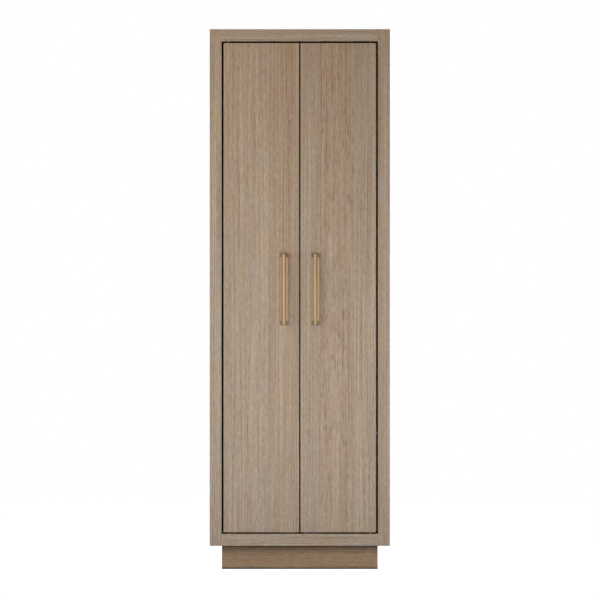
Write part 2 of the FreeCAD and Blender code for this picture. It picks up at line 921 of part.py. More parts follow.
def foot(middle):
    """A levelling foot: a round pad on a stem. Its pad is level with the underside of the plinth."""
    pad = rod(foot_pad_diameter, middle, middle + AXIS_Z * foot_pad_height)
    rim = [edge for edge in pad.Edges if edge.Closed and edge.CenterOfMass.z > pad.CenterOfMass.z]
    pad = pad.makeFillet(edge_round, rim)
    stem = rod(foot_stem_diameter, middle, middle + AXIS_Z * (plinth_height - foot_head_room))
    return one_solid(pad.fuse(stem))


def plinth_rail(front):
    """The front or the back of the plinth, over its full width."""
    y = plinth_front_y if front else plinth_back_y - plinth_board
    board = block((-plinth_half, plinth_half), (y, y + plinth_board), (0, plinth_height))
    show = y if front else y + plinth_board
    ends = edges_between(board, [(0, -plinth_half), (0, plinth_half), (1, show)])
    return board.makeFillet(edge_round, ends)


def plinth_end(side):
    outer = side * plinth_half
    depth = (plinth_front_y + plinth_board, plinth_back_y - plinth_board)
    return block((outer, outer - side * plinth_board), depth, (0, plinth_height))


# Nodes

def case_nodes():
    cuts = case_cuts()
    nodes, side_lippings, rail_lippings = {}, [], []
    split_y = front_y + case_lipping
    for name, side in (("left_side_panel", LEFT), ("right_side_panel", RIGHT)):
        nodes[name], lipping = lipped(carve(side_board(side), cuts), split_y)
        side_lippings.append(lipping)
    for name, end in (("bottom_panel", BOTTOM), ("top_panel", TOP)):
        nodes[name], lipping = lipped(carve(end_board(end), cuts), split_y)
        rail_lippings.append(lipping)
    case_places, inner_places = dowel_places()
    nodes["side_front_lippings"] = side_lippings
    nodes["rail_front_lippings"] = rail_lippings
    nodes["case_dowels"] = dowels(case_places, case_dowel_diameter, case_dowel_length)
    nodes["inner_dowels"] = dowels(inner_places, inner_dowel_diameter, inner_dowel_length)
    nodes["back_panel"] = back_panel()
    nodes["back_panel_screws"] = screws(back_screw, back_screw_places())
    return nodes


def inner_nodes():
    split_y = inner_front_y + inner_lipping
    nodes, shelf_lippings = {}, []
    nodes["fixed_shelf"], lipping = lipped(fixed_shelf(), split_y)
    shelf_lippings.append(lipping)
    for number, pin_z in enumerate(loose_shelf_pin_heights(), 1):
        nodes[f"loose_shelf_{number}"], lipping = lipped(loose_shelf(pin_z), split_y)
        shelf_lippings.append(lipping)
    nodes["shelf_lippings"] = shelf_lippings
    nodes["partition"], nodes["partition_lipping"] = lipped(partition(), split_y)
    nodes["shelf_pins"] = shelf_pins()
    nodes["peg_rail"] = peg_rail()
    nodes["broom_pegs"] = [peg(seat) for seat in peg_places()]
    nodes["wall_rail"] = wall_rail()
    nodes["rail_screws"] = screws(rail_screw, rail_screw_places())
    return nodes


def plinth_nodes():
    nodes = {
        "plinth_front": plinth_rail(True),
        "plinth_back": plinth_rail(False),
        "plinth_left_end": plinth_end(LEFT),
        "plinth_right_end": plinth_end(RIGHT),
        "plinth_corner_blocks": corner_blocks(),
        "plinth_screws": screws(plinth_screw, plinth_screw_places()),
        "foot_inserts": [foot_insert(middle) for middle in foot_places().values()],
    }
    for name, middle in foot_places().items():
        nodes["levelling_foot_" + name] = foot(middle)
    return nodes


def hinge_and_catch_nodes():
    """The fixed half of the hinges and catches, which stays with the case."""
    corners = [(side, end) for side in SIDES for end in ENDS]
    nodes = {
        "hinge_case_leaves": [case_leaf(*corner) for corner in corners],
        "hinge_pins": [hinge_pin(*corner) for corner in corners],
        "hinge_washers": [hinge_washer(*corner) for corner in corners],
        "catch_housings": [catch_housing(*corner) for corner in corners],
        "catch_magnets": [catch_magnet(*corner) for corner in corners],
    }
    hinge_places, catch_places = [], []
    for side, end in corners:
        hinge_places += leaf_screw_places(side, hinge_faces(end)[0], AXIS_Z * end)
        catch_places += catch_screw_places(side, end)
    nodes["hinge_case_screws"] = screws(hinge_screw, hinge_places)
    nodes["catch_screws"] = screws(catch_screw, catch_places)
    return nodes


def door_nodes(name, side):
    nodes = {}
    nodes[name + "_door_panel"], nodes[name + "_door_lipping"] = door_pieces(side)
    nodes[name + "_door_hinge_leaves"] = [door_leaf(side, end) for end in ENDS]
    leaf_places = []
    for end in ENDS:
        leaf_places += leaf_screw_places(side, hinge_faces(end)[1], AXIS_Z * -end)
    nodes[name + "_door_hinge_screws"] = screws(hinge_screw, leaf_places)
    nodes[name + "_strike_plates"] = [strike_plate(side, end) for end in ENDS]
    nodes[name + "_strike_screws"] = screws(strike_screw, strike_screw_places(side))
    nodes[name + "_handle_bar"] = handle_bar(side)
    nodes[name + "_handle_posts"] = [handle_post(side, end) for end in ENDS]
    nodes[name + "_handle_plate"] = handle_plate(side)
    nodes[name + "_handle_screws"] = [handle_screw(side, end) for end in ENDS]
    return nodes


def main():
    nodes = {}
    nodes.update(case_nodes())
    nodes.update(inner_nodes())
    nodes.update(plinth_nodes())
    nodes.update(hinge_and_catch_nodes())
    nodes.update(door_nodes("left", LEFT))
    nodes.update(door_nodes("right", RIGHT))
    os.makedirs("parts", exist_ok=True)
    for name, shape in nodes.items():
        group = shape if isinstance(shape, list) else [shape]
        solids = [solid for piece in group for solid in piece.Solids]
        whole = solids[0] if len(solids) == 1 else Part.makeCompound(solids)
        whole.exportStep(f"parts/{name}.step")
        valid = all(solid.isValid() for solid in solids)
        print(f"{name}: {len(solids)} solids, {sum(s.Volume for s in solids) / 1000:.1f} cm3, valid {valid}")
    print(f"{len(nodes)} nodes")


if __name__ == "__main__":
    main()
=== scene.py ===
# %% [markdown]
# # A tall oak broom cupboard
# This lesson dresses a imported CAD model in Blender. The boards already have their true shapes, so most of
# the work is in the finishes: pale oak veneer laid in leaves, satin brass, zinc and plastic. A few turned
# pieces are made again as smooth surfaces. Everything is in metres, with +X to the right, +Y to the back
# and +Z up.

# %% Load the frame
from collections import namedtuple

import bpy
import numpy as np
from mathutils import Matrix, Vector


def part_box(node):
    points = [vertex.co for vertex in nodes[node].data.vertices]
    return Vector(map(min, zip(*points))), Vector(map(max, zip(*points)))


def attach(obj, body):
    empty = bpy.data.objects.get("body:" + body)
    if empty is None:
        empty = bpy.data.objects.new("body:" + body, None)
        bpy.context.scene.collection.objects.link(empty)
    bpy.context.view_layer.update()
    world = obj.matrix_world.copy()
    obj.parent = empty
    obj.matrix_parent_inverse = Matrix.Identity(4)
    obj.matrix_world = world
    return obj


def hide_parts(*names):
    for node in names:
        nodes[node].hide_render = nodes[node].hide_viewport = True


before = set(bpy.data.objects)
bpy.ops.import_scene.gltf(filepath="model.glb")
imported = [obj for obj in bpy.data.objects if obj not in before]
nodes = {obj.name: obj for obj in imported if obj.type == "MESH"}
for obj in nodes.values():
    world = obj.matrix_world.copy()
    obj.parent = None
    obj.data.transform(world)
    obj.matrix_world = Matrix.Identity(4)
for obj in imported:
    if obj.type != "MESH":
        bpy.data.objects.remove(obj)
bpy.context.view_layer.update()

# %% [markdown]
# ## Writing shader maths as Python
# A material is a graph of small nodes. Drawn by hand, a sum of three noises is already a page of boxes and
# noodles. Wrapping a socket in a class that knows + - * / and the comparisons lets the same graph be written
# as a formula, which can be read, changed and printed. Plain numbers stay plain numbers until they meet a
# socket.

# %% A socket that takes part in formulas
class Wire:
    """The value that comes out of one socket. A formula of wires adds the nodes that work it out."""

    def __init__(self, tree, socket):
        self.tree = tree
        self.socket = socket

    def node(self, kind, settings=None, values=None, output=0):
        """Adds a node: its settings first, then each socket's value or link. Gives the chosen output."""
        made = self.tree.nodes.new(kind)
        for name, setting in (settings or {}).items():
            setattr(made, name, setting)
        for name, value in (values or {}).items():
            if isinstance(value, Wire):
                self.tree.links.new(value.socket, made.inputs[name])
            else:
                made.inputs[name].default_value = value
        return Wire(self.tree, made.outputs[output]) if len(made.outputs) else None

    def math(self, operation, *values):
        """One operation on numbers."""
        return self.node("ShaderNodeMath", {"operation": operation}, dict(enumerate(values)))

    def vector(self, operation, *values):
        """One operation on vectors or colours."""
        return self.node("ShaderNodeVectorMath", {"operation": operation}, dict(enumerate(values)))

    def __add__(self, other):
        return self.math("ADD", self, other)

    def __radd__(self, other):
        return self.math("ADD", other, self)

    def __sub__(self, other):
        return self.math("SUBTRACT", self, other)

    def __rsub__(self, other):
        return self.math("SUBTRACT", other, self)

    def __mul__(self, other):
        return self.math("MULTIPLY", self, other)

    def __rmul__(self, other):
        return self.math("MULTIPLY", other, self)

    def __truediv__(self, other):
        return self.math("DIVIDE", self, other)

    def __pow__(self, power):
        return self.math("POWER", self, power)

    def __gt__(self, other):
        return self.math("GREATER_THAN", self, other)

    def axes(self, names):
        """The named parts of a vector, in the order asked for."""
        split = self.node("ShaderNodeSeparateXYZ", values={"Vector": self}).socket.node
        return [Wire(self.tree, split.outputs[name.upper()]) for name in names]

    def rise(self, low, high):
        """A soft step, from 0 at low to 1 at high."""
        limits = {"Value": self, "From Min": low, "From Max": high}
        return self.node("ShaderNodeMapRange", {"interpolation_type": "SMOOTHSTEP"}, limits)

    def noise(self, per_metre, detail=2.0):
        """Noise about zero, with its own number of cells per metre along x, y and z."""
        stretched = self.vector("MULTIPLY", self, per_metre)
        values = {"Vector": stretched, "Scale": 1.0, "Detail": detail}
        return self.node("ShaderNodeTexNoise", values=values) - 0.5

    def mix(self, first, second):
        """A colour between two, with this wire as the share of the second."""
        values = {0: self, 6: first, 7: second}
        return self.node("ShaderNodeMix", {"data_type": "RGBA"}, values, output=2)

    def tinted(self, colour):
        """A colour made lighter or darker by this wire."""
        return self.node("ShaderNodeVectorMath", {"operation": "SCALE"}, {0: colour, 3: self})


print("sockets can be added, multiplied and compared")

# %% [markdown]
# ## Starting and finishing a material
# Every finish starts from the place of a point on its piece and ends in one shader with a bump. An image
# would have to be unwrapped and would show a seam where it stops. A place in metres needs neither, and it
# gives each grain and scratch its true size.

# %% The two ends of a material
def start_material(name):
    """A new empty material, and the wire that tells each point's place on its piece in metres."""
    made = bpy.data.materials.new(name)
    made.use_nodes = True
    made.node_tree.nodes.clear()
    places = made.node_tree.nodes.new("ShaderNodeTexCoord")
    return made, Wire(made.node_tree, places.outputs["Object"])


def finish_material(place, height, relief, values):
    """Joins the values to a Principled shader, with a height times a relief in metres as its bump."""
    bump = {"Height": height, "Distance": relief, "Strength": 1.0}
    values["Normal"] = place.node("ShaderNodeBump", values=bump)
    shader = place.node("ShaderNodeBsdfPrincipled", values=values)
    place.node("ShaderNodeOutputMaterial", values={"Surface": shader})


print("materials can be started and finished")

# %% [markdown]
# ## Oak, from the tree outwards
# Veneer is sliced from a log and laid side by side in leaves, so a door shows vertical strips that differ a
# little in tone and figure. A photograph stretched over the door would give one view of one door. Here the
# wood is solved as a solid instead: each leaf knows where the heart of its tree lay, sideways and below the
# face, and how fast that heart leans towards the face along the grain. A heart far to one side gives
# straight grain. A heart close under the face gives pointed arches. The same solid reaches round the edges,
# so a board's end and its face agree.

# %% What a leaf of veneer is
Leaf = namedtuple("Leaf", "start tone warmth heart below lean figure")


def leaf_value(across, leaves, field):
    """The number of the leaf that a point is in: the first leaf's, and a step at each seam crossed."""
    total = getattr(leaves[0], field)
    for before, leaf in zip(leaves, leaves[1:]):
        step = getattr(leaf, field) - getattr(before, field)
        if step:
            total = (across > leaf.start) * step + total
    return total


print("each leaf has its", ", ".join(Leaf._fields))

# %% [markdown]
# ## Streaks and growth rings
# Two things draw the grain. Streaks are noise with many cells across the board and few along it, from wide
# bands to fine threads. Rings come from the tree: wood grown in spring is open and dark, and it closes up
# towards the end of the year. The distance from the heart counts the rings, and a slow sway keeps them from
# being as round as a target.

# %% Streaks and rings
Streak = namedtuple("Streak", "across along detail")
STREAKS = {
    "sway": Streak(9.0, 1.3, 2.0),
    "uneven": Streak(70.0, 2.0, 2.0),
    "bands": Streak(26.0, 0.5, 2.0),
    "ribbons": Streak(95.0, 1.0, 2.0),
    "fine": Streak(400.0, 2.2, 2.0),
    "dashes": Streak(420.0, 55.0, 2.0),
    "threads": Streak(900.0, 42.0, 2.0),
    "pores": Streak(430.0, 52.0, 1.0),
    "red": Streak(75.0, 7.0, 3.0),
    "golden": Streak(48.0, 12.0, 3.0),
}
RING_WIDTH = 0.0052
SWAY_SIZE = 0.035
UNEVEN_SIZE = 0.012
SPRING_FALL = 3.0


def stretched_noise(place, axes, streak):
    """Noise about zero, with a streak's cells per metre across the grain and along it."""
    cells = dict(zip(axes, (streak.across, streak.across, streak.along)))
    return place.noise([cells[axis] for axis in "xyz"], streak.detail)


def spring_wood(place, axes, leaves, grain):
    """How open the wood is: 1 where a ring starts, falling as a cube to 0 where it ends.

    Ring distance is the square root of (sideways from the heart) squared plus (depth under the face, which
    changes slowly along the board) squared. Its part after the whole number of rings is 0 at a ring's start.
    """
    across, depth, along = place.axes(axes)
    heart, below, lean = (leaf_value(across, leaves, field) for field in ("heart", "below", "lean"))
    sideways = across - heart
    under = along * lean + below + depth + grain["sway"] * SWAY_SIZE
    ring_distance = (sideways * sideways + under * under) ** 0.5
    rings = (ring_distance + grain["uneven"] * UNEVEN_SIZE) / RING_WIDTH
    since_ring = rings.math("FRACT", rings)
    return (1.0 - since_ring) ** SPRING_FALL


print(len(STREAKS), "kinds of streak, and rings", RING_WIDTH * 1000, "mm apart")

# %% [markdown]
# ## The oak finish
# Oak isn't one brown. It wanders between a greyish, a reddish and a golden wood, and where it is darker it is
# also redder, so a change of shade moves its blue most and its red least. Three colours and one set of
# streaks give all of that, and the same streaks make the bump and the sheen, so they agree with the colour.

# %% Oak
PALE_OAK = ((0.371, 0.262, 0.179, 1.0), (0.400, 0.236, 0.136, 1.0), (0.380, 0.260, 0.139, 1.0))
BROWN_OAK = ((0.362, 0.207, 0.104, 1.0), (0.376, 0.192, 0.088, 1.0), (0.366, 0.205, 0.086, 1.0))
PIGMENT = (0.82, 1.0, 1.24)
LEAF_SHIFT = {"X": 31.0, "Y": 17.0, "Z": 23.0}
SHADE_SHARES = {"bands": 0.26, "ribbons": 0.24, "fine": 1.25, "dashes": 0.90, "threads": 0.60}
SPRING_MEAN = 1.0 / (SPRING_FALL + 1.0)
PORE_LIMITS = (0.06, 0.16)
PORE_SHADE = 0.22
RED_SPREAD = 1.9
GOLDEN_LIMITS = (-0.14, 0.14)
GOLDEN_SHARE = 0.5
HEIGHT_SHARES = {"dashes": 0.5, "threads": 0.5}
SPRING_DEPTH = 0.3
PORE_DEPTH = 0.8
PORE_ROUGHNESS = 0.15
DASH_GLOSS = 0.25
OAK_RELIEF = 0.00016


def oak(name, axes, leaves, tone=1.0, roughness=0.48, colours=PALE_OAK, painted_shade=None):
    """Oak with its leaves side by side along the first axis, depth on the second and grain on the third.

    Colour is a hue between three woods times (tone plus pigment times shade). Shade is the sum of the streaks
    and the leaf's tone, less the figure of the spring wood and the pores in it. The pattern of each leaf is
    moved by its tone, so no two leaves are alike. The last argument is a function from a place to the share
    of its brightness that painted shade leaves: shadow painted into the colour.
    """
    made, place = start_material(name)
    (across,) = place.axes(axes[0])
    tones, warmth, figure = (leaf_value(across, leaves, field) for field in ("tone", "warmth", "figure"))
    moves = {axis: tones * distance for axis, distance in LEAF_SHIFT.items()}
    own_place = place.vector("ADD", place, place.node("ShaderNodeCombineXYZ", values=moves))
    grain = {kind: stretched_noise(own_place, axes, streak) for kind, streak in STREAKS.items()}
    spring = spring_wood(place, axes, leaves, grain)
    pores = grain["pores"].rise(*PORE_LIMITS) * spring

    shade = sum((grain[kind] * share for kind, share in SHADE_SHARES.items()), tones)
    shade = shade - (spring - SPRING_MEAN) * figure - pores * PORE_SHADE
    strength = place.vector("MULTIPLY_ADD", shade, PIGMENT, (tone, tone, tone))
    grey_wood, red_wood, golden_wood = colours
    red = (grain["red"] * RED_SPREAD + warmth).rise(0.0, 1.0)
    golden = grain["golden"].rise(*GOLDEN_LIMITS) * GOLDEN_SHARE
    hue = golden.mix(red.mix(grey_wood, red_wood), golden_wood)
    colour = place.vector("MULTIPLY", hue, strength)
    # Painted shade, where it is given, darkens the colour by its share.
    if painted_shade:
        colour = painted_shade(place).tinted(colour)

    raised = sum(grain[kind] * share for kind, share in HEIGHT_SHARES.items())
    finish_material(place, raised - spring * SPRING_DEPTH - pores * PORE_DEPTH, OAK_RELIEF, {
        "Base Color": colour,
        "Roughness": pores * PORE_ROUGHNESS - grain["dashes"] * DASH_GLOSS + roughness,
        "IOR": 1.5,
    })
    return made


print("oak has", len(PALE_OAK), "colours and a relief of", OAK_RELIEF * 1000, "mm")

# %% [markdown]
# ## The leaves of the two doors
# Both doors were veneered in one run, so a single material covers the pair and the lippings round them. The
# left door shows quiet straight grain in three leaves. The middle leaf of the right door was cut near the
# heart of its log and shows the pointed arches that joiners call a cathedral. The last two millimetres of
# each door's face, and the front of its edges, are darker with painted shade, which stands in for the shade
# in the gaps round the doors. They need no strip of their own: the distance to the nearest side of the door
# says where they are.

# %% Door veneer
door_leaves = [
    Leaf(-0.300, -0.015, 0.45, -0.47, 0.05, 0.012, 0.10),
    Leaf(-0.2125, 0.022, 0.42, -0.39, 0.06, 0.010, 0.10),
    Leaf(-0.1042, -0.048, 0.62, -0.36, 0.05, -0.012, 0.12),
    Leaf(0.0, -0.012, 0.40, -0.21, 0.04, 0.010, 0.11),
    Leaf(0.066, -0.045, 0.68, 0.124, 0.030, -0.030, 0.15),
    Leaf(0.183, 0.012, 0.45, 0.43, 0.05, 0.012, 0.10),
]
door_low, door_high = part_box("right_door_lipping")
# Width and strength of the painted shade along the door gaps.
EDGE_WIDTH = 0.002
EDGE_SHADE = 0.7


def dark_edges(place):
    """Painted shade near a door's outline: the least distance to its four sides, as a soft step."""
    x, y, z = place.axes("xyz")
    sideways = x.math("ABSOLUTE", x)
    nearest = sideways - door_low.x
    for distance in (door_high.x - sideways, z - door_low.z, door_high.z - z):
        nearest = nearest.math("MINIMUM", nearest, distance)
    behind_face = y.rise(door_low.y, door_low.y + EDGE_WIDTH)
    unshaded = nearest.math("MAXIMUM", nearest.rise(0.0, EDGE_WIDTH), behind_face)
    return unshaded * EDGE_SHADE + (1.0 - EDGE_SHADE)


# The doors' outline is darkened with painted shade for the gaps round them.
door_oak = oak("door_oak", "xyz", door_leaves, painted_shade=dark_edges)
print("doors:", len(door_leaves), "leaves")

# %% [markdown]
# ## The front edges of the case
# The case is lipped in front with solid oak, sawn from other boards than the veneer. It stands on the stiles
# and runs from side to side on the rails. Beside the doors its inner edge is darker with painted shade, as
# theirs is.

# %% Stiles and front rails
stile_leaves = [
    Leaf(-0.310, -0.014, 0.32, 0.06, 0.52, 0.010, 0.10),
    Leaf(0.0, -0.032, 0.50, 0.72, 0.48, -0.010, 0.12),
]
front_rail_leaves = [
    Leaf(-0.300, 0.048, 0.45, -0.32, 0.66, 0.010, 0.10),
    Leaf(1.0, 0.082, -0.1, 2.05, 0.70, -0.010, 0.10),
]
opening_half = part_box("rail_front_lippings")[1].x
door_middle_z = (door_low.z + door_high.z) / 2
door_half_height = (door_high.z - door_low.z) / 2


def dark_inner_edge(place):
    """Painted shade on a stile: less brightness within 2 mm of the opening, in front and by a door."""
    x, y, z = place.axes("xyz")
    from_opening = x.math("ABSOLUTE", x) - opening_half
    from_middle = z.math("ABSOLUTE", z - door_middle_z)
    unshaded = from_opening.rise(0.0, EDGE_WIDTH)
    for elsewhere in (y.rise(door_low.y, door_low.y + EDGE_WIDTH), from_middle > door_half_height):
        unshaded = unshaded.math("MAXIMUM", unshaded, elsewhere)
    return unshaded * EDGE_SHADE + (1.0 - EDGE_SHADE)


# The stiles' inner edge is darkened with painted shade beside the doors.
stile_oak = oak("stile_oak", "xyz", stile_leaves, painted_shade=dark_inner_edge)
front_rail_oak = oak("front_rail_oak", "zyx", front_rail_leaves)
print("the opening is", round(2 * opening_half, 3), "wide")

# %% [markdown]
# ## The case, the inside and the back
# The case boards are veneered on their faces. On the uprights the grain stands, and on the top, bottom and
# shelves it runs from side to side. The leaves lie one behind the other from front to back, and the first one
# is the lipping.

# %% Case veneers
LIPPING_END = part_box("side_front_lippings")[1].y
upright_leaves = [
    Leaf(-0.300, 0.008, 0.42, 0.06, 0.52, 0.010, 0.10),
    Leaf(LIPPING_END, -0.010, 0.50, -0.52, 0.06, 0.012, 0.10),
    Leaf(-0.092, 0.020, 0.42, -0.035, 0.330, 0.030, 0.13),
    Leaf(0.034, -0.030, 0.58, -0.31, 0.05, -0.012, 0.11),
    Leaf(0.148, 0.010, 0.48, 0.47, 0.06, 0.010, 0.10),
]
cross_leaves = [
    Leaf(-0.300, 0.010, 0.10, 0.05, 0.42, 0.010, 0.10),
    Leaf(LIPPING_END, 0.000, 0.48, -0.46, 0.05, 0.012, 0.10),
    Leaf(-0.070, -0.028, 0.60, -0.012, 0.030, 0.030, 0.13),
    Leaf(0.056, 0.018, 0.44, 0.36, 0.05, -0.012, 0.11),
    Leaf(0.160, -0.008, 0.52, 0.52, 0.06, 0.010, 0.10),
]
back_leaves = [
    Leaf(-0.300, 0.000, 0.50, -0.45, 0.05, 0.012, 0.10),
    Leaf(-0.175, 0.024, 0.44, -0.110, 0.030, 0.030, 0.14),
    Leaf(-0.040, -0.026, 0.58, 0.020, 0.034, -0.030, 0.14),
    Leaf(0.090, 0.012, 0.48, 0.32, 0.05, 0.010, 0.10),
    Leaf(0.200, -0.014, 0.52, 0.47, 0.05, -0.010, 0.10),
]
upright_oak = oak("upright_oak", "yxz", upright_leaves)
cross_oak = oak("cross_oak", "yzx", cross_leaves)
back_oak = oak("back_oak", "xyz", back_leaves, tone=0.97, roughness=0.52)
print("lippings end at", round(LIPPING_END, 4), "and the back has", len(back_leaves), "leaves")

# %% [markdown]
# ## The plinth and the rails
# The plinth is a plain darker base of solid boards. Its front and back run from side to side, and its ends
# run from front to back, so they need the grain on another axis. Its lowest centimetre and the joint under
# the case are darker with painted shade, which stands in for the shadow at the floor and under the case. The
# inside rails are the same kind of board.

# %% Solid boards
# Height and strength of the painted shade at the floor and under the case.
FOOT_SHADE_HEIGHT = 0.011
JOINT_HEIGHT = 0.006
PLINTH_SHADE = 0.8
plinth_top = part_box("plinth_front")[1].z


def plinth_shade(place):
    """Painted shade on the plinth: a soft step up from the floor times a soft step down to the case."""
    (above_floor,) = place.axes("z")
    unshaded = above_floor.rise(0.0, FOOT_SHADE_HEIGHT) * (plinth_top - above_floor).rise(0.0, JOINT_HEIGHT)
    return unshaded * PLINTH_SHADE + (1.0 - PLINTH_SHADE)


board_leaf = [Leaf(-0.300, 0.0, 0.60, -0.18, 0.35, 0.012, 0.12)]
# Both plinth materials carry painted shade at the floor and under the case.
base_look = {"roughness": 0.52, "colours": BROWN_OAK, "painted_shade": plinth_shade}
plinth_oak = oak("plinth_oak", "zyx", board_leaf, **base_look)
plinth_end_oak = oak("plinth_end_oak", "zxy", board_leaf, **base_look)
rail_oak = oak("rail_oak", "zyx", board_leaf, tone=1.02, roughness=0.5)
block_wood = oak("block_wood", "xyz", board_leaf, tone=1.12, roughness=0.62)
turned_oak = oak("turned_oak", "xzy", board_leaf, tone=1.10, roughness=0.5)
print("the plinth is", round(plinth_top, 4), "high")

# %% [markdown]
# ## Metals
# Satin brass is rubbed with a fine abrasive along its length, which leaves faint lines. A mirror finish would
# show the lamps as hard spots, so the lines are made as roughness and as a very shallow bump. Zinc plating is
# cloudier, with soft patches a few millimetres wide, and plain bright steel lies between the two. On the
# handle plates and posts the brass is darker near the posts with painted shade, which stands in for the
# shadow of the posts. The middle of each plate is left as it is.

# %% Rubbed metal
plate_low, plate_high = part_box("left_handle_plate")
# Where the painted shade round the handle posts lies.
POST_ZONE = 0.018
POST_SHADE_EDGE = 0.006
HANDLE_MIDDLE = (plate_low.z + plate_high.z) / 2
UNSHADED_HALF = plate_high.z - HANDLE_MIDDLE - POST_ZONE
CLOUD_CELLS = (160.0, 160.0, 160.0)
RUB_RELIEF = 0.00001


def metal(name, colour, lines_per_metre, roughness, cloud=0.12, rub=0.16, post_shade=0.0):
    """Metal with rubbed lines: noise with many cells across the rub and few along it, and soft clouds.

    Rub and cloud say how strong they are. The last share darkens it with painted shade at the height of the
    handle posts, for the shadow of the posts, with a soft edge towards the middle.
    """
    made, place = start_material(name)
    lines = place.noise(lines_per_metre)
    uneven = lines * rub + place.noise(CLOUD_CELLS) * cloud
    brightness = uneven + 1.0
    # Painted shade at the height of the posts, for the shadow they cast.
    if post_shade:
        (height,) = place.axes("z")
        from_middle = height.math("ABSOLUTE", height - HANDLE_MIDDLE)
        brightness = brightness * (1.0 - from_middle.rise(UNSHADED_HALF, UNSHADED_HALF + POST_SHADE_EDGE) * post_shade)
    finish_material(place, lines, RUB_RELIEF, {
        "Base Color": brightness.tinted(colour),
        "Metallic": 1.0,
        "Roughness": uneven + roughness,
    })
    return made


BRASS = (0.56, 0.372, 0.215)
BRASS_LINES = (2600.0, 2600.0, 320.0)
handle_brass = metal("handle_brass", BRASS, BRASS_LINES, 0.64, cloud=0.02, rub=0.05)
# The plates and posts carry painted shade near the posts.
plate_brass = metal("plate_brass", BRASS, BRASS_LINES, 0.64, cloud=0.04, rub=0.05, post_shade=0.38)
hinge_bronze = metal("hinge_bronze", (0.105, 0.075, 0.046), (60.0, 2600.0, 2600.0), 0.5)
screw_zinc = metal("screw_zinc", (0.58, 0.56, 0.52), (900.0, 900.0, 900.0), 0.38, cloud=0.20)
bright_steel = metal("bright_steel", (0.62, 0.62, 0.61), (60.0, 2400.0, 2400.0), 0.28)
magnet_steel = metal("magnet_steel", (0.16, 0.16, 0.17), (1200.0, 1200.0, 1200.0), 0.45, cloud=0.20)
# Beyond these heights the plates carry painted shade.
print("handle plates stay clean", round(UNSHADED_HALF, 4), "up and down from", round(HANDLE_MIDDLE, 4))

# %% [markdown]
# ## Moulded plastics
# The catch housings are pale nylon and the feet are black nylon. Moulded nylon has a fine spark-eroded
# texture, so the bump is even in every direction, and its colour hardly changes. Only the front of the
# catches, which the doors knock against, is darker: painted shade, which stands in for the shade inside the
# closed cupboard.

# %% Moulded nylon
# Depth and strength of the painted shade on the catch fronts.
FRONT_SHADE_DEPTH = 0.002
FRONT_SHADE = 0.85
GRIT_CELLS = (2200.0, 2200.0, 2200.0)
GRIT_TONE = 0.10
GRIT_RELIEF = 0.00006
PATCH_CELLS = (90.0, 90.0, 90.0)
PATCH_TONE = 0.12
PATCH_ROUGHNESS = 0.2


def nylon(name, colour, roughness, shaded_front=None):
    """Nylon with a fine even texture in its bump, and a little unevenness in its sheen.

    The last argument is the place of a painted-shade front face: brightness rises in a soft step over its
    depth.
    """
    made, place = start_material(name)
    grit = place.noise(GRIT_CELLS)
    patches = place.noise(PATCH_CELLS)
    brightness = patches * PATCH_TONE + grit * GRIT_TONE + 1.0
    # Painted shade on the front face, where it is given.
    if shaded_front is not None:
        (back,) = place.axes("y")
        unshaded = back.rise(shaded_front, shaded_front + FRONT_SHADE_DEPTH)
        brightness = brightness * (unshaded * FRONT_SHADE + (1.0 - FRONT_SHADE))
    finish_material(place, grit, GRIT_RELIEF, {
        "Base Color": brightness.tinted(colour),
        "Roughness": patches * PATCH_ROUGHNESS + roughness,
    })
    return made


# The catches' fronts carry painted shade.
catch_nylon = nylon("catch_nylon", (0.62, 0.54, 0.43), 0.48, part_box("catch_housings")[0].y)
foot_nylon = nylon("foot_nylon", (0.026, 0.026, 0.028), 0.55)
# The catches' fronts are darker with painted shade over this depth.
print("painted shade darkens", FRONT_SHADE_DEPTH * 1000, "mm of the catch fronts")

# %% [markdown]
# ## Dressing the CAD pieces
# Each CAD piece keeps its shape and only changes its material. The table below reads as a cutting list does,
# a finish and then everything that has it.

# %% Give every CAD piece its finish
finishes = {
    door_oak: "left_door_panel right_door_panel left_door_lipping right_door_lipping",
    stile_oak: "side_front_lippings",
    front_rail_oak: "rail_front_lippings",
    upright_oak: "left_side_panel right_side_panel partition partition_lipping",
    cross_oak: "top_panel bottom_panel fixed_shelf loose_shelf_1 loose_shelf_2 loose_shelf_3 "
               "shelf_lippings",
    back_oak: "back_panel",
    plinth_oak: "plinth_front plinth_back",
    plinth_end_oak: "plinth_left_end plinth_right_end",
    rail_oak: "peg_rail wall_rail",
    block_wood: "plinth_corner_blocks case_dowels inner_dowels",
    hinge_bronze: "hinge_case_leaves left_door_hinge_leaves right_door_hinge_leaves hinge_washers",
    screw_zinc: "back_panel_screws rail_screws plinth_screws hinge_case_screws catch_screws "
                "left_door_hinge_screws right_door_hinge_screws left_strike_screws right_strike_screws "
                "left_handle_screws right_handle_screws",
    bright_steel: "hinge_pins shelf_pins left_strike_plates right_strike_plates foot_inserts",
    magnet_steel: "catch_magnets",
    plate_brass: "left_handle_plate right_handle_plate",
    catch_nylon: "catch_housings",
}
for finish, names in finishes.items():
    for name in names.split():
        nodes[name].data.materials.clear()
        nodes[name].data.materials.append(finish)
dressed = {name for names in finishes.values() for name in names.split()}
print("dressed", len(dressed), "pieces, to be turned:", sorted(set(nodes) - dressed))

# %% [markdown]
# ## Turned pieces
# Bars, posts, pegs and screw threads are all rings of points that follow an axis, so one recipe makes them:
# work out how far along the axis each ring lies and how wide it is, then let numpy carry every ring round a
# full circle at once. CAD facets would show as flat strips in the gloss of the brass, and these rings don't.

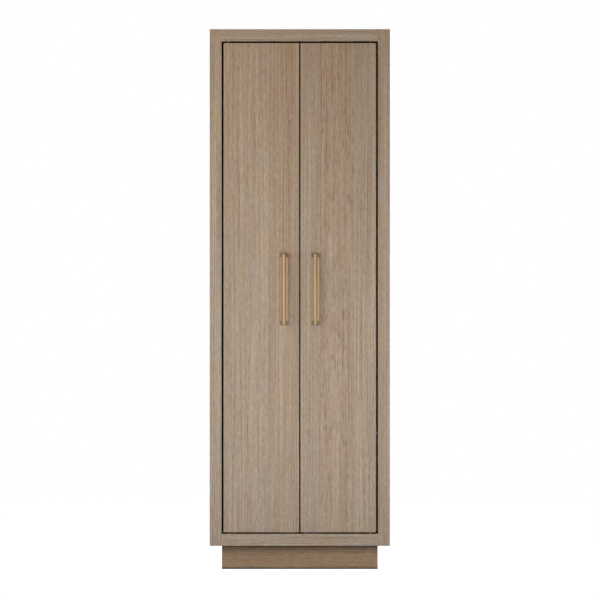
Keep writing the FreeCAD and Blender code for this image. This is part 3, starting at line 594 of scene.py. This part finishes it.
# %% A closed skin over rings
def skin(rings, first_pole, last_pole):
    """Points and faces of a closed skin: four-sided from ring to ring, and a fan to a pole at each end.

    Where the volume inside, counted with the direction of the walls, is below zero, all faces are turned.
    """
    ring_count, side_count = rings.shape[:2]
    points = np.concatenate([rings.reshape(-1, 3), [first_pole, last_pole]])
    here = np.arange(ring_count * side_count).reshape(ring_count, side_count)
    beside = np.roll(here, -1, axis=1)
    walls = np.stack([here[:-1], beside[:-1], beside[1:], here[1:]], axis=-1).reshape(-1, 4)
    poles = np.full((2, side_count), [[len(points) - 2], [len(points) - 1]])
    first_fan = np.stack([beside[0], here[0], poles[0]], axis=-1)
    last_fan = np.stack([here[-1], beside[-1], poles[1]], axis=-1)
    corners = points[walls] - points.mean(axis=0)
    inward = np.einsum("ij,ij->", corners[:, 0], np.cross(corners[:, 1], corners[:, 2])) < 0
    faces = [walls, first_fan, last_fan]
    return points, [face[:, ::-1] if inward else face for face in faces]


def turned(lengths, radii, start, axis, sides):
    """Skin of a turned piece: a ring at each length along the axis, of that radius at each angle round it.

    The first and last lengths are the poles at the ends. Radii may change with the angle as well.
    """
    axis = np.array(axis, float)
    first_side = np.array([axis[1], axis[2], axis[0]])
    second_side = np.cross(axis, first_side)
    angles = np.linspace(0.0, 2 * np.pi, sides, endpoint=False)[:, None]
    rim = np.cos(angles) * first_side + np.sin(angles) * second_side
    radii = np.broadcast_to(np.reshape(radii, (len(radii), -1)), (len(radii), sides))
    middles = np.array(start) + np.reshape(lengths, (-1, 1)) * axis
    rings = middles[1:-1, None] + radii[:, :, None] * rim
    return skin(rings, middles[0], middles[-1])


print("skins close at both ends and face outwards")

# %% [markdown]
# ## From skins to a piece
# A mesh is a list of points and a list of faces, so several skins make one piece when their lists are joined
# and each skin's faces count on from the points before it. The piece then moves with the body that carries
# it, and takes the place of the plainer CAD shape.

# %% Adding a piece
def add_piece(name, skins, finish, body, slot, *replaced):
    """One smooth object made of the given skins, which rides on a body and stands for the replaced nodes."""
    points = np.concatenate([skin_points for skin_points, _ in skins])
    starts = np.cumsum([0] + [len(skin_points) for skin_points, _ in skins])
    faces = []
    for (_, groups), start in zip(skins, starts):
        for group in groups:
            faces.extend((group + start).tolist())
    mesh = bpy.data.meshes.new(name)
    mesh.from_pydata(points.tolist(), [], faces)
    mesh.polygons.foreach_set("use_smooth", np.ones(len(faces), bool))
    mesh.materials.append(finish)
    piece = bpy.data.objects.new(name, mesh)
    bpy.context.scene.collection.objects.link(piece)
    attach(piece, body)
    if replaced:
        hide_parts(*replaced)
    print(name, "has", len(faces), "faces")


print("pieces can be added")

# %% [markdown]
# ## Handle bars
# Each handle is a round bar on two posts. The bar's ends are rounded over by a millimetre, because a sawn end
# would cut the hand. A quarter circle in seven steps rounds every edge of the turned pieces.

# %% Bars
UP = (0, 0, 1)
END_ROUND = 0.0012
END_DISC = 1.5
BAR_SIDES = 64
quarter = np.linspace(0.0, np.pi / 2, 7)


def rounding(size):
    """A quarter circle of that radius: how far along the axis each step lies, and how far in."""
    return size * (1 - np.cos(quarter)), size * (1 - np.sin(quarter))


def foot_of(low, high):
    """The middle of the lower face of a box."""
    return (low.x + high.x) / 2, (low.y + high.y) / 2, low.z


def bar_skin(low, high):
    """A round bar that fills a box: one radius all along, a quarter circle and a flat disc at each end."""
    radius = (high.x - low.x) / 2
    length = high.z - low.z
    along, inward = rounding(END_ROUND)
    disc = [radius - END_DISC * END_ROUND]
    lengths = np.concatenate([[0, 0], along, length - along[::-1], [length, length]])
    radii = np.concatenate([disc, radius - inward, radius - inward[::-1], disc])
    return turned(lengths, radii, foot_of(low, high), UP, BAR_SIDES)


print("bar ends are rounded by", END_ROUND * 1000, "mm")

# %% [markdown]
# ## Handle posts
# Each post stands with its collar on a flat plate against the door. The plate is a CAD piece and is right as
# it is. A post ends in a saddle that fits the bar, as a fish-mouthed tube does in a bicycle frame: at each
# point of its rim it reaches as far as the bar's own surface.

# %% Posts
COLLAR_RADIUS = 0.0075
COLLAR_HEIGHT = 0.005
COLLAR_EDGE = 0.0005
POST_RADIUS = 0.005
POST_FILLET = 0.001
POST_SIDES = 64
SADDLE_STEPS = np.array([1.0, 0.98, 0.75, 0.5, 0.25])


def post_skin(foot, reach, bar_radius):
    """A post that stands out to the front from its foot, with a reach to the middle of the bar.

    The rings of its collar and neck lie at set lengths. Those of its saddle lie at the reach less the square
    root of (bar radius squared minus sideways squared).
    """
    edge_along, edge_in = rounding(COLLAR_EDGE)
    neck_along, neck_in = rounding(POST_FILLET)
    lengths = np.concatenate([edge_along, COLLAR_HEIGHT - edge_along[::-1], COLLAR_HEIGHT + neck_along])
    collar = COLLAR_RADIUS - edge_in
    neck = POST_RADIUS + neck_in
    radii = np.concatenate([collar, collar[::-1], neck, POST_RADIUS * SADDLE_STEPS])[:, None]
    angles = np.linspace(0.0, 2 * np.pi, POST_SIDES, endpoint=False)
    sideways = radii * np.cos(angles)
    outward = reach - np.sqrt(np.maximum(bar_radius ** 2 - sideways ** 2, 0.0))
    outward[:len(lengths)] = lengths[:, None]
    x, y, z = foot
    rings = np.stack([x + sideways, y - outward, z + radii * np.sin(angles)], axis=-1)
    return skin(rings, foot, (x, y - reach + bar_radius, z))


print("a post is", POST_RADIUS * 2000, "mm thick on a collar of", COLLAR_RADIUS * 2000, "mm")

# %% Both handles
for side in ("left", "right"):
    bar_low, bar_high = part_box(side + "_handle_bar")
    bar = bar_skin(bar_low, bar_high)
    add_piece(side + "_round_bar", [bar], handle_brass, side + "_door", "satin_brass", side + "_handle_bar")

    post_low, post_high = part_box(side + "_handle_posts")
    bar_x, bar_y, _ = foot_of(bar_low, bar_high)
    bar_radius = (bar_high.x - bar_low.x) / 2
    heights = (post_low.z + COLLAR_RADIUS, post_high.z - COLLAR_RADIUS)
    feet = [(bar_x, post_high.y, height) for height in heights]
    posts = [post_skin(foot, post_high.y - bar_y, bar_radius) for foot in feet]
    add_piece(side + "_saddle_posts", posts, plate_brass, side + "_door", "satin_brass",
              side + "_handle_posts")

# %% [markdown]
# ## Broom pegs
# The three pegs are turned from one stick each: a tenon glued into the rail, a shoulder with a bead, a
# waisted neck and a ball that keeps a loop of string from slipping off. The neck is a smooth cosine from the
# bead to its waist.

# %% Profile of a peg
BALL_RADIUS = 0.0115
BALL_STEPS = 25
TENON_RADIUS = 0.006
SHOULDER_RADIUS = 0.0085
BEAD_HEIGHT = 0.004
BEAD_SWELL = 0.0012
BEAD_STEPS = 9
WAIST_RADIUS = 0.0052
WAIST_PULL = 0.6
WAIST_STEPS = 14


def peg_profile(tenon, reach):
    """Lengths and radii of a peg: a straight tenon, a half wave for the bead, a cosine and a circle."""
    bead = np.linspace(0.0, np.pi, BEAD_STEPS)
    bead_lengths = tenon + BEAD_HEIGHT * (1 - np.cos(bead)) / 2
    bead_radii = SHOULDER_RADIUS - BEAD_SWELL * (1 - np.sin(bead))
    ball = np.linspace(np.arcsin(WAIST_RADIUS / BALL_RADIUS), np.pi, BALL_STEPS)[:-1]
    ball_lengths = tenon + reach - BALL_RADIUS * (1 + np.cos(ball))
    ball_radii = BALL_RADIUS * np.sin(ball)
    neck = np.linspace(0.0, 1.0, WAIST_STEPS)[1:-1]
    neck_lengths = bead_lengths[-1] + (ball_lengths[0] - bead_lengths[-1]) * neck
    neck_share = 0.5 + 0.5 * np.cos(np.pi * neck ** WAIST_PULL)
    neck_radii = WAIST_RADIUS + (bead_radii[-1] - WAIST_RADIUS) * neck_share
    lengths = np.concatenate([[0, 0, tenon], bead_lengths, neck_lengths, ball_lengths, [tenon + reach]])
    radii = np.concatenate([[TENON_RADIUS, TENON_RADIUS], bead_radii, neck_radii, ball_radii])
    return lengths, radii


print("a peg has a ball of", BALL_RADIUS * 2000, "mm and a waist of", WAIST_RADIUS * 2000, "mm")

# %% Pegs
PEG_COUNT = 3
PEG_SIDES = 40
TO_FRONT = (0, -1, 0)
pegs_low, pegs_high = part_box("broom_pegs")
rail_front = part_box("peg_rail")[0].y
lengths, radii = peg_profile(pegs_high.y - rail_front, rail_front - pegs_low.y)
peg_z = (pegs_low.z + pegs_high.z) / 2
peg_places = np.linspace(pegs_low.x + BALL_RADIUS, pegs_high.x - BALL_RADIUS, PEG_COUNT)
pegs = [turned(lengths, radii, (peg_x, pegs_high.y, peg_z), TO_FRONT, PEG_SIDES) for peg_x in peg_places]
add_piece("turned_pegs", pegs, turned_oak, "cabinet", "turned_wood", "broom_pegs")

# %% [markdown]
# ## Levelling feet
# A foot is a fluted nylon pad on a threaded steel stem. The flutes are a cosine of the angle, and the thread
# is a saw tooth of the height plus the share of a turn, so its groove climbs by one pitch for every turn.

# %% Pads
STEM_RADIUS = 0.004
PAD_HEIGHT = 0.008
PAD_EDGE = 0.0012
PAD_SIDES = 144
SOLE_SHARE = 0.9
NECK_SHARE = 1.6
FLUTES = 18
FLUTE_DEPTH = 0.0009


def pad_skin(low, high):
    """A pad as wide as its box: rounded above and below, less a cosine of the angle where it is widest."""
    along, inward = rounding(PAD_EDGE)
    rim = (high.x - low.x) / 2 - inward
    lengths = np.concatenate([[0, 0], along, PAD_HEIGHT - along[::-1], [PAD_HEIGHT, PAD_HEIGHT]])
    radii = np.concatenate([[rim[0] * SOLE_SHARE], rim, rim[::-1], [STEM_RADIUS * NECK_SHARE]])
    angles = np.linspace(0.0, 2 * np.pi, PAD_SIDES, endpoint=False)
    share = np.concatenate([[0], np.sin(quarter), np.sin(quarter)[::-1], [0]])
    flutes = FLUTE_DEPTH * share[:, None] * (0.5 - 0.5 * np.cos(FLUTES * angles))
    return turned(lengths, radii[:, None] - flutes, foot_of(low, high), UP, PAD_SIDES)


print("a pad has", FLUTES, "flutes")

# %% [markdown]
# ## Threaded stems
# The stem goes up from its pad into the insert in the plinth. Six rings to a turn are enough to show the
# thread's crest and root, and the tip is narrowed so that it finds its hole.

# %% Stems
THREAD_PITCH = 0.00125
THREAD_DEPTH = 0.0007
RINGS_PER_TURN = 6
STEM_SIDES = 24
TIP_SHARE = 0.6


def stem_skin(low, high):
    """A stem from the pad to the top of its box: its radius less a saw tooth, narrowed to its tip."""
    length = high.z - low.z - PAD_HEIGHT
    along = np.linspace(0.0, length, int(length / THREAD_PITCH * RINGS_PER_TURN))
    turns = along[:, None] / THREAD_PITCH - np.linspace(0.0, 1.0, STEM_SIDES, endpoint=False)
    tooth = np.abs(2 * (turns % 1.0) - 1)
    tip = np.minimum(1.0, (length - along) / STEM_RADIUS + TIP_SHARE)[:, None]
    radii = (STEM_RADIUS - THREAD_DEPTH * tooth) * tip
    x, y, z = foot_of(low, high)
    lengths = np.concatenate([[0], along, [length]])
    return turned(lengths, radii, (x, y, z + PAD_HEIGHT), UP, STEM_SIDES)


print("a stem climbs", THREAD_PITCH * 1000, "mm for each turn")

# %% All four feet
for corner in ("front_left", "front_right", "back_left", "back_right"):
    node = "levelling_foot_" + corner
    foot_low, foot_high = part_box(node)
    pad = pad_skin(foot_low, foot_high)
    add_piece("foot_pad_" + corner, [pad], foot_nylon, "foot_" + corner, "foot_plastic", node)
    stem = stem_skin(foot_low, foot_high)
    add_piece("foot_stem_" + corner, [stem], screw_zinc, "foot_" + corner, "screw_steel")

# %% [markdown]
# ## Floor
# The cupboard stands on a plain white floor. A lit floor would end in a grey horizon, so this one glows white
# by itself and meets the white walls without a line. A few millimetres round the foot of the plinth are dark
# in its glow, a painted contact shadow. From below the floor is clear, so that the feet can be looked at.

# %% Floor
FLOOR_HALF = 14.0
FLOOR_DROP = 0.0003
CONTACT_LIMITS = (-0.004, 0.002)
floor_sides = np.array([(-1, -1), (1, -1), (1, 1), (-1, 1)]) * FLOOR_HALF
floor_corners = np.column_stack([floor_sides, np.full(4, -FLOOR_DROP)])
floor_mesh = bpy.data.meshes.new("studio_floor")
floor_mesh.from_pydata(floor_corners.tolist(), [], [(0, 1, 2, 3)])
floor = bpy.data.objects.new("studio_floor", floor_mesh)
bpy.context.scene.collection.objects.link(floor)
floor.visible_diffuse = False
floor.visible_glossy = False
print("the floor reaches", FLOOR_HALF, "m each way")

# %% Floor paint
floor_paint, floor_place = start_material("floor_paint")
floor_x, floor_y = floor_place.axes("xy")
plinth_low, plinth_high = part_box("plinth_front")[0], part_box("plinth_back")[1]
from_side = floor_x.math("ABSOLUTE", floor_x) - plinth_high.x
from_middle = floor_y - (plinth_low.y + plinth_high.y) / 2
from_front = from_middle.math("ABSOLUTE", from_middle) - (plinth_high.y - plinth_low.y) / 2
away = from_side.math("MAXIMUM", from_side, from_front)
# A painted contact shadow: the glow is dark within a few millimetres of the plinth.
glow_with_painted_shadow = away.rise(*CONTACT_LIMITS).tinted((1, 1, 1))
floor_lit = floor_place.node("ShaderNodeBsdfDiffuse", values={"Color": (0.25, 0.25, 0.25, 1)})
floor_glow = floor_place.node("ShaderNodeEmission", values={"Color": glow_with_painted_shadow, "Strength": 1.0})
floor_above = floor_place.node("ShaderNodeAddShader", values={0: floor_lit, 1: floor_glow})
floor_below = floor_place.node("ShaderNodeBsdfTransparent")
backfacing = floor_place.node("ShaderNodeNewGeometry").socket.node.outputs["Backfacing"]
floor_look = floor_place.node("ShaderNodeMixShader", values={
    0: Wire(floor_place.tree, backfacing), 1: floor_above, 2: floor_below})
floor_place.node("ShaderNodeOutputMaterial", values={"Surface": floor_look})
floor_mesh.materials.append(floor_paint)
print("the floor is dark from", CONTACT_LIMITS[0], "to", CONTACT_LIMITS[1], "from the plinth")

# %% [markdown]
# ## Studio walls
# The walls are white to the camera, but they hardly light the cupboard. If they did, all its shadows would be
# washed out. What they give comes from above, as in a room with a pale ceiling.

# %% Walls
WALL_LIMITS = (-0.25, 0.35)
walls = bpy.data.worlds.new("studio_walls")
bpy.context.scene.world = walls
walls.use_nodes = True
walls.node_tree.nodes.clear()
direction = Wire(walls.node_tree, walls.node_tree.nodes.new("ShaderNodeTexCoord").outputs["Generated"])
(upward,) = direction.axes("z")
wall_colour = upward.rise(*WALL_LIMITS).mix((0.0, 0.0, 0.0, 1.0), (0.02, 0.02, 0.02, 1.0))
around = direction.node("ShaderNodeBackground", values={"Color": wall_colour, "Strength": 1.0})
backdrop = direction.node("ShaderNodeBackground", values={"Color": (1, 1, 1, 1), "Strength": 1.0})
seen = direction.node("ShaderNodeLightPath").socket.node.outputs["Is Camera Ray"]
room = direction.node("ShaderNodeMixShader", values={0: Wire(walls.node_tree, seen), 1: around, 2: backdrop})
direction.node("ShaderNodeOutputWorld", values={"Surface": room})
print("the walls are white")

# %% [markdown]
# ## Lamps
# Two lamps at the cupboard's middle height light the doors from the front, a broad one well to the left and a
# narrower, weaker one to the right, and each gives the handles a shadow. Two large boards fill in from the
# sides. A wide lamp low in front reaches under the case to the plinth, the floor sends some light up, and a
# small warm lamp at the top left stands for the ceiling. The lamps behind the front plane don't reach the
# doors: they are there for the views from the sides, the back and the top.

# %% Lamps
Lamp = namedtuple("Lamp", "place size aim colour power")
DOOR_MIDDLE = (0.0, 0.0, 0.95)
COOL, WARM = (0.85, 0.93, 1.0), (1.0, 0.57, 0.09)
lamps = {
    "lamp_left": Lamp((-1.27, -2.41, 1.1), (0.9, 0.9), DOOR_MIDDLE, (0.745, 0.873, 1.0), 20.5),
    "lamp_right": Lamp((0.73, -2.41, 0.97), (0.12, 0.9), DOOR_MIDDLE, (0.845, 0.93, 1.0), 13.4),
    "board_left": Lamp((-1.7, -1.2, 1.12), (1.4, 1.6), (0.0, -0.2, 0.94), (0.785, 0.889, 1.0), 16.2),
    "board_right": Lamp((1.7, -1.2, 0.45), (1.4, 1.6), (0.0, -0.2, 0.62), (0.861, 0.975, 1.0), 8.4),
    "lamp_top_left": Lamp((-1.0, -1.2, 2.15), (0.9, 0.5), (-0.1, -0.2, 1.5), WARM, 3.9),
    "lamp_low": Lamp((0.0, -2.4, 0.21), (2.0, 0.38), (0.0, 0.0, 0.3), (0.815, 0.89, 1.0), 12.1),
    "floor_bounce": Lamp((0.0, -1.5, 0.004), (2.6, 2.0), (0.0, -1.5, 2.0), (0.69, 0.836, 1.0), 11.6),
    "lamp_side_left": Lamp((-3.2, 0.9, 1.6), (1.5, 2.0), DOOR_MIDDLE, COOL, 52.0),
    "lamp_side_right": Lamp((3.2, 0.9, 1.6), (1.5, 2.0), DOOR_MIDDLE, COOL, 64.0),
    "lamp_back": Lamp((0.5, 3.6, 2.0), (2.0, 2.0), DOOR_MIDDLE, COOL, 95.0),
    "lamp_above": Lamp((0.0, 0.9, 3.9), (1.6, 1.0), DOOR_MIDDLE, COOL, 46.0),
}
for name, lamp in lamps.items():
    light = bpy.data.lights.new(name, "AREA")
    light.shape = "RECTANGLE"
    light.size, light.size_y = lamp.size
    light.color = lamp.colour
    light.energy = lamp.power
    hung = bpy.data.objects.new(name, light)
    hung.location = lamp.place
    hung.rotation_euler = (Vector(lamp.aim) - Vector(lamp.place)).to_track_quat("-Z", "Y").to_euler()
    hung.visible_camera = False
    bpy.context.scene.collection.objects.link(hung)
print("lamps:", ", ".join(lamps))

# %% [markdown]
# ## Camera
# The doors are seen straight from the front, with no side of the case in sight. A camera far away with a long
# lens does that. It looks level at a little less than the cupboard's middle height, and the lens follows from
# the width that the picture takes in at the front of the case.

# %% Camera
FRONT_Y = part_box("side_front_lippings")[0].y
VIEW_WIDTH = 2.0304
CAMERA_DISTANCE = 40.0
CAMERA_X = 0.0007
CAMERA_HEIGHT = 0.9113
camera_data = bpy.data.cameras.new("camera")
camera_data.sensor_width = 36.0
camera_data.lens = camera_data.sensor_width * CAMERA_DISTANCE / VIEW_WIDTH
camera_data.clip_end = 100.0
camera = bpy.data.objects.new("camera", camera_data)
camera.location = (CAMERA_X, FRONT_Y - CAMERA_DISTANCE, CAMERA_HEIGHT)
camera.rotation_euler = (np.pi / 2, 0.0, 0.0)
bpy.context.scene.collection.objects.link(camera)
bpy.context.scene.camera = camera
bpy.context.scene.view_settings.view_transform = "Standard"
print("camera", CAMERA_DISTANCE, "m in front, lens", round(camera_data.lens, 1), "mm")
